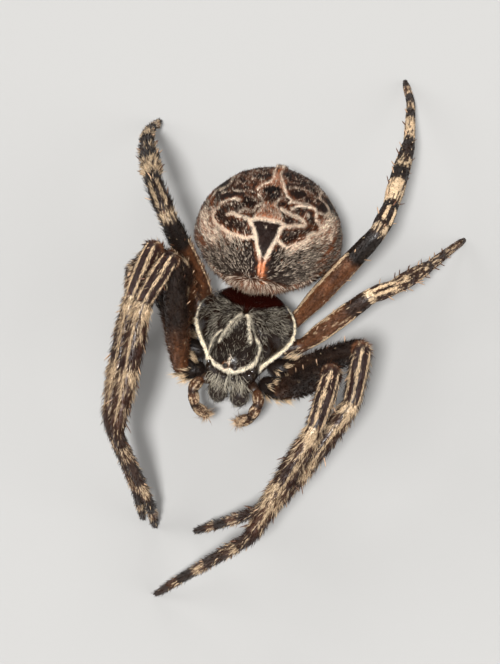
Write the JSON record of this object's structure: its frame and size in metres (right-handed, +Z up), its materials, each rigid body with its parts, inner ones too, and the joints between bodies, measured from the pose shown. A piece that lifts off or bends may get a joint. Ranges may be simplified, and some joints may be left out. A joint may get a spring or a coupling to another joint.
{
  "type": "orb weaver spider model",
  "caption": "Life-size still model of a grown female orb weaver spider on eight feet, abdomen held low, front legs reaching forward.",
  "frame": {"origin": "middle of the footprint's box, on the floor that the feet rest on", "axes": "+Z up, -Y towards the way the head points, +X the spider's own left"},
  "size_m": [0.015, 0.0264, 0.0091],
  "materials": {
    "dark_shell": "satin",
    "banded_leg": "satin",
    "patterned_back": "matte",
    "eye": "gloss",
    "fang": "gloss"
  },
  "bodies": {
    "root": {"carapace": "dark_shell", "sternum": "dark_shell", "abdomen": "patterned_back", "spinnerets": "banded_leg", "eye_left_front": "eye", "eye_left_rear": "eye", "eye_left_side": "eye", "chelicera_left": "dark_shell", "fang_left": "fang", "palp_left_upper": "banded_leg", "palp_left_lower": "banded_leg", "leg_left_1_coxa": "banded_leg", "leg_left_1_femur": "banded_leg", "leg_left_1_patella": "banded_leg", "leg_left_1_tibia": "banded_leg", "leg_left_1_foot": "banded_leg", "leg_left_2_coxa": "banded_leg", "leg_left_2_femur": "banded_leg", "leg_left_2_patella": "banded_leg", "leg_left_2_tibia": "banded_leg", "leg_left_2_foot": "banded_leg", "leg_left_3_coxa": "banded_leg", "leg_left_3_femur": "banded_leg", "leg_left_3_patella": "banded_leg", "leg_left_3_tibia": "banded_leg", "leg_left_3_foot": "banded_leg", "leg_left_4_coxa": "banded_leg", "leg_left_4_femur": "banded_leg", "leg_left_4_patella": "banded_leg", "leg_left_4_tibia": "banded_leg", "leg_left_4_foot": "banded_leg", "eye_right_front": "eye", "eye_right_rear": "eye", "eye_right_side": "eye", "chelicera_right": "dark_shell", "fang_right": "fang", "palp_right_upper": "banded_leg", "palp_right_lower": "banded_leg", "leg_right_1_coxa": "banded_leg", "leg_right_1_femur": "banded_leg", "leg_right_1_patella": "banded_leg", "leg_right_1_tibia": "banded_leg", "leg_right_1_foot": "banded_leg", "leg_right_2_coxa": "banded_leg", "leg_right_2_femur": "banded_leg", "leg_right_2_patella": "banded_leg", "leg_right_2_tibia": "banded_leg", "leg_right_2_foot": "banded_leg", "leg_right_3_coxa": "banded_leg", "leg_right_3_femur": "banded_leg", "leg_right_3_patella": "banded_leg", "leg_right_3_tibia": "banded_leg", "leg_right_3_foot": "banded_leg", "leg_right_4_coxa": "banded_leg", "leg_right_4_femur": "banded_leg", "leg_right_4_patella": "banded_leg", "leg_right_4_tibia": "banded_leg", "leg_right_4_foot": "banded_leg"}
  },
  "joints": []
}
